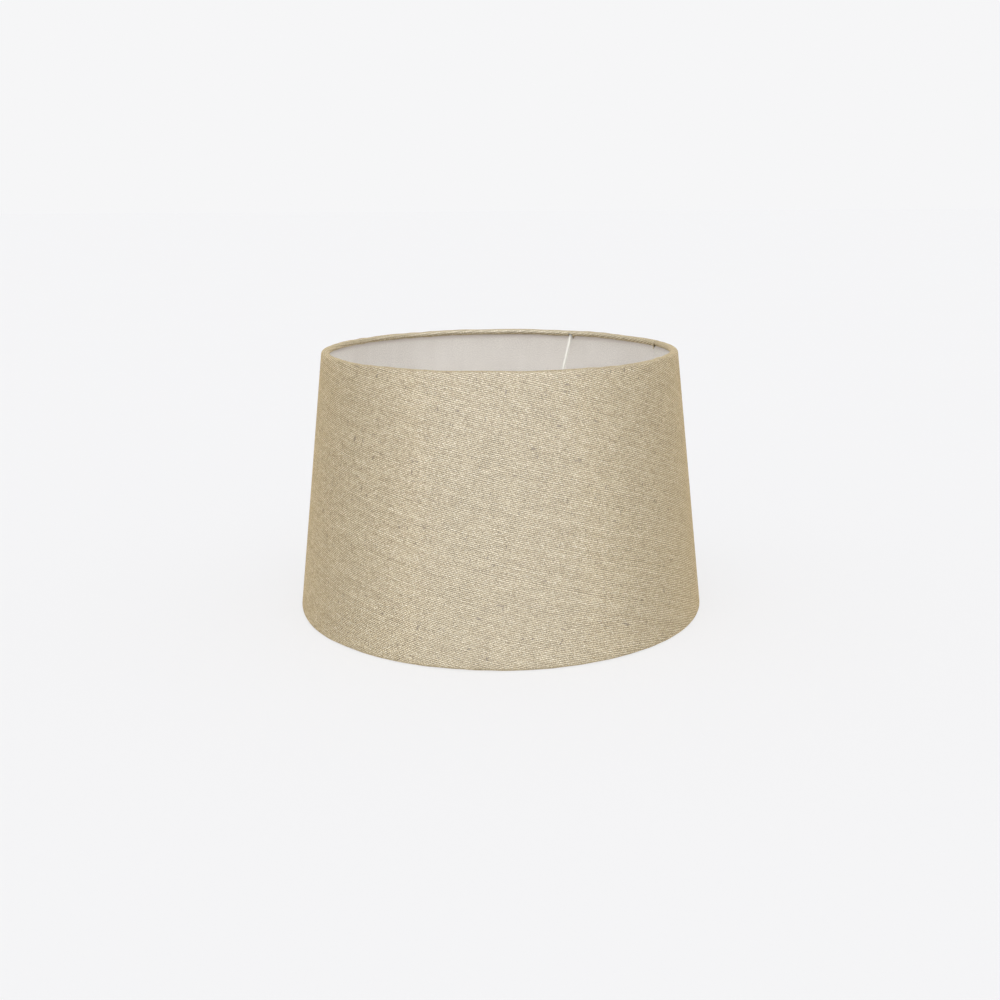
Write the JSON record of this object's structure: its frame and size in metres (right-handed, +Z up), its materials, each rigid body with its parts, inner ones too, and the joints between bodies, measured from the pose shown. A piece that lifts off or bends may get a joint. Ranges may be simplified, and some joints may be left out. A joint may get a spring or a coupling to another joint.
{
  "type": "lamp shade",
  "caption": "Tapered round fabric lamp shade with a stiff lining, rolled hems and a wire frame whose sloping arms carry a fitter ring for a lamp holder.",
  "frame": {"origin": "centre of the bottom edge, on the surface that the shade stands on", "axes": "+Z up along the shade's axis, from the wide bottom to the narrow top; -Y is the front"},
  "size_m": [0.35, 0.35, 0.2211],
  "materials": {
    "linen": "plain-woven natural linen with slubs",
    "liner": "smooth white film, slightly satin",
    "frame_paint": "white powder-coated steel wire",
    "tape": "translucent adhesive tape"
  },
  "bodies": {
    "root": {"top_ring": "frame_paint", "bottom_ring": "frame_paint", "frame_arm_1": "frame_paint", "frame_arm_2": "frame_paint", "frame_arm_3": "frame_paint", "fitter_ring": "frame_paint", "liner_panel": "liner", "linen_cover": "linen", "seam_tape": "tape", "top_ring_tape": "tape", "bottom_ring_tape": "tape"}
  },
  "joints": []
}
